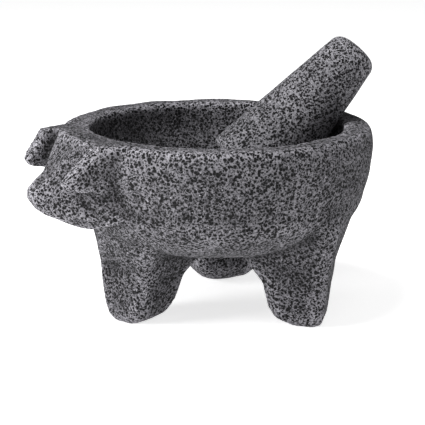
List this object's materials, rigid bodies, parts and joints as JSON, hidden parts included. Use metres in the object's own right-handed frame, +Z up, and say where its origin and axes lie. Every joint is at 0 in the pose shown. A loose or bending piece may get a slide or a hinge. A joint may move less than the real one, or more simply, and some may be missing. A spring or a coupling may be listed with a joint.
{
  "type": "molcajete",
  "caption": "Pig-shaped three-legged stone mortar with a head on its rim, and a loose tapered stone pestle leaning in the bowl.",
  "frame": {"origin": "on the floor, below the middle of the whole object's bounding box", "axes": "+Z up, -X the way the pig looks, -Y its left side; the longest extent lies along X"},
  "size_m": [0.237, 0.2076, 0.1821],
  "materials": {
    "mortar_basalt": "matte vesicular basalt with open pits",
    "pestle_basalt": "matte fine-pored basalt, rubbed smooth"
  },
  "bodies": {
    "mortar": {"mortar": "mortar_basalt"},
    "pestle": {"pestle": "pestle_basalt"}
  },
  "joints": [
    {"name": "pestle_lift", "type": "slide", "parent": "mortar", "child": "pestle", "axis": [0, 0, 1], "range_m": [0, 0.08]}
  ]
}
